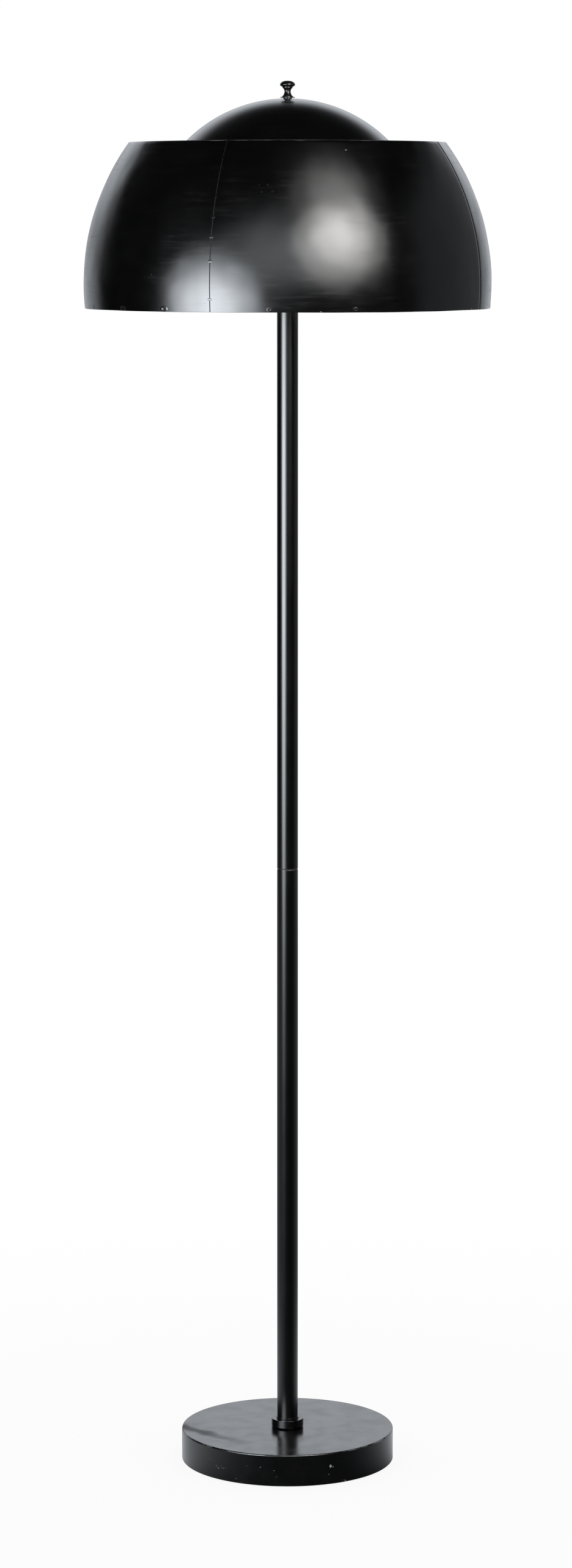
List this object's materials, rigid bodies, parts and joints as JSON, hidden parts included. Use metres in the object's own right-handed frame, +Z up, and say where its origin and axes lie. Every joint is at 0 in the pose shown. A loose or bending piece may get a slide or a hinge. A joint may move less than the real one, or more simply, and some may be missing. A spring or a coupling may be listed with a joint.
{
  "type": "mushroom floor lamp",
  "caption": "Tall floor lamp with a round weighted foot, a slim black pole and a mushroom shade: a bowed metal ring around a dome held by a small finial.",
  "frame": {"origin": "middle of the foot's underside, on the floor", "axes": "+Z up along the pole, -Y towards the front, +X to the right as seen from the front"},
  "size_m": [0.4784, 0.4784, 1.6513],
  "materials": {
    "black_paint": "satin black paint on sheet steel, uneven and softly glossy, with white enamel inside the shade",
    "black_lacquer": "gloss black lacquer on turned brass",
    "raw_iron": "rough sand-cast iron",
    "felt": "dark green wool felt",
    "zinc_steel": "zinc-plated steel, satin",
    "brass": "drawn brass sheet, lightly dulled",
    "porcelain": "glazed porcelain",
    "bulb_glass": "frosted white glass",
    "bulb_cap": "plain pressed aluminium",
    "solder": "dull solder button",
    "bakelite": "moulded black phenolic",
    "rubber": "matte black rubber"
  },
  "bodies": {
    "stand": {"foot_pad": "felt", "foot_weight": "raw_iron", "foot_cover": "black_paint", "cord_inlet": "rubber", "foot_nipple": "zinc_steel", "foot_washer": "zinc_steel", "foot_nut": "zinc_steel", "pole_collar": "black_paint", "lower_pole": "black_paint", "upper_pole": "black_paint", "pole_foot_bush": "zinc_steel", "joint_bush_lower": "zinc_steel", "joint_bush_upper": "zinc_steel", "joint_nipple": "zinc_steel", "pole_top_bush": "zinc_steel", "holder_body": "black_paint", "holder_nipple": "zinc_steel", "holder_nut": "zinc_steel", "holder_lid": "black_paint", "socket_nipple_right": "zinc_steel", "socket_nut_right": "zinc_steel", "socket_cap_right": "brass", "socket_shell_right": "brass", "socket_core_right": "porcelain", "screw_shell_right": "brass", "socket_contact_right": "brass", "socket_nipple_left": "zinc_steel", "socket_nut_left": "zinc_steel", "socket_cap_left": "brass", "socket_shell_left": "brass", "socket_core_left": "porcelain", "screw_shell_left": "brass", "socket_contact_left": "brass", "shade_post": "zinc_steel", "shade_washer": "zinc_steel", "post_nuts": "zinc_steel"},
    "shade": {"shade_panel_front": "black_paint", "shade_panel_right": "black_paint", "shade_panel_back": "black_paint", "shade_panel_left": "black_paint", "seam_tacks": "black_paint", "rim_hoop": "black_paint", "shade_spider": "black_paint", "dome_spacer": "black_paint", "dome_washer": "zinc_steel", "dome": "black_paint"},
    "finial_washer": {"finial_washer": "black_lacquer"},
    "finial": {"finial": "black_lacquer"},
    "switch_right": {"switch_knob_right": "bakelite"},
    "bulb_right_foot": {"bulb_contact_right": "solder"},
    "bulb_right": {"bulb_cap_right": "bulb_cap", "bulb_glass_right": "bulb_glass"},
    "switch_left": {"switch_knob_left": "bakelite"},
    "bulb_left_foot": {"bulb_contact_left": "solder"},
    "bulb_left": {"bulb_cap_left": "bulb_cap", "bulb_glass_left": "bulb_glass"}
  },
  "joints": [
    {"name": "shade_turn", "type": "hinge", "parent": "stand", "child": "shade", "pos_m": [0, 0, 1.525], "axis": [0, 0, 1], "continuous": true},
    {"name": "finial_rise", "type": "slide", "parent": "stand", "child": "finial_washer", "axis": [0, 0, 1], "range_m": [0, 0.0096]},
    {"name": "finial_turn", "type": "hinge", "parent": "finial_washer", "child": "finial", "pos_m": [0, 0, 1.6325], "axis": [0, 0, 1], "range_deg": [0, 4320]},
    {"name": "switch_right_turn", "type": "hinge", "parent": "stand", "child": "switch_right", "pos_m": [0.041, 0, 1.43], "axis": [0, 0, -1], "continuous": true},
    {"name": "bulb_right_out", "type": "slide", "parent": "stand", "child": "bulb_right_foot", "axis": [1, 0, 0], "range_m": [0, 0.01814]},
    {"name": "bulb_right_turn", "type": "hinge", "parent": "bulb_right_foot", "child": "bulb_right", "pos_m": [0.06, 0, 1.447], "axis": [1, 0, 0], "range_deg": [0, 1800]},
    {"name": "switch_left_turn", "type": "hinge", "parent": "stand", "child": "switch_left", "pos_m": [-0.041, 0, 1.43], "axis": [0, 0, -1], "continuous": true},
    {"name": "bulb_left_out", "type": "slide", "parent": "stand", "child": "bulb_left_foot", "axis": [-1, 0, 0], "range_m": [0, 0.01814]},
    {"name": "bulb_left_turn", "type": "hinge", "parent": "bulb_left_foot", "child": "bulb_left", "pos_m": [-0.06, 0, 1.447], "axis": [-1, 0, 0], "range_deg": [0, 1800]}
  ],
  "couplings": [
    {"joint": "finial_rise", "follows": "finial_turn", "m_per_rad": 0.00012732},
    {"joint": "bulb_right_out", "follows": "bulb_right_turn", "m_per_rad": 0.00057751},
    {"joint": "bulb_left_out", "follows": "bulb_left_turn", "m_per_rad": 0.00057751}
  ]
}
